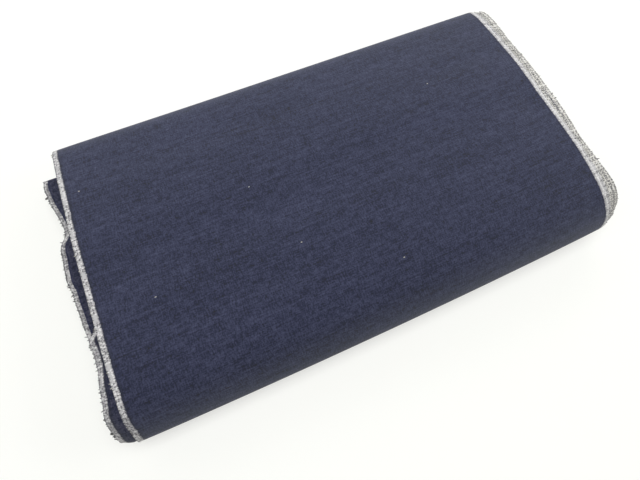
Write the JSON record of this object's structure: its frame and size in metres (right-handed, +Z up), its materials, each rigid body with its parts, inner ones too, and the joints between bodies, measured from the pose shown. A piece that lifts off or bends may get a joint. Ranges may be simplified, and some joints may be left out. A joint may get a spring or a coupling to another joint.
{
  "type": "folded tsumugi kimono cloth bolt",
  "caption": "Length of indigo slub silk kimono cloth wound flat into a soft bundle, with pale selvedges at both ends, lying on its flat underside.",
  "frame": {"origin": "middle of the flat underside, halfway across the cloth's width and between the two folds", "axes": "+X along the cloth's width from selvedge to selvedge, -Y towards the high front fold, +Z up"},
  "size_m": [0.3965, 0.223, 0.0457],
  "materials": {
    "indigo_tsumugi": "matt slub silk, plain woven from hand-spun indigo yarn, with short streaks along the weft",
    "pale_selvedge": "undyed grey-white woven selvedge with dark weft returns along its edge"
  },
  "bodies": {
    "root": {"outer_turn": "indigo_tsumugi", "outer_selvedge_left": "pale_selvedge", "outer_selvedge_right": "pale_selvedge", "second_turn": "indigo_tsumugi", "second_selvedge_left": "pale_selvedge", "second_selvedge_right": "pale_selvedge", "third_turn": "indigo_tsumugi", "third_selvedge_left": "pale_selvedge", "third_selvedge_right": "pale_selvedge", "inner_turns": "indigo_tsumugi", "inner_selvedges_left": "pale_selvedge", "inner_selvedges_right": "pale_selvedge", "core_turn": "indigo_tsumugi", "core_selvedge_left": "pale_selvedge"}
  },
  "joints": []
}
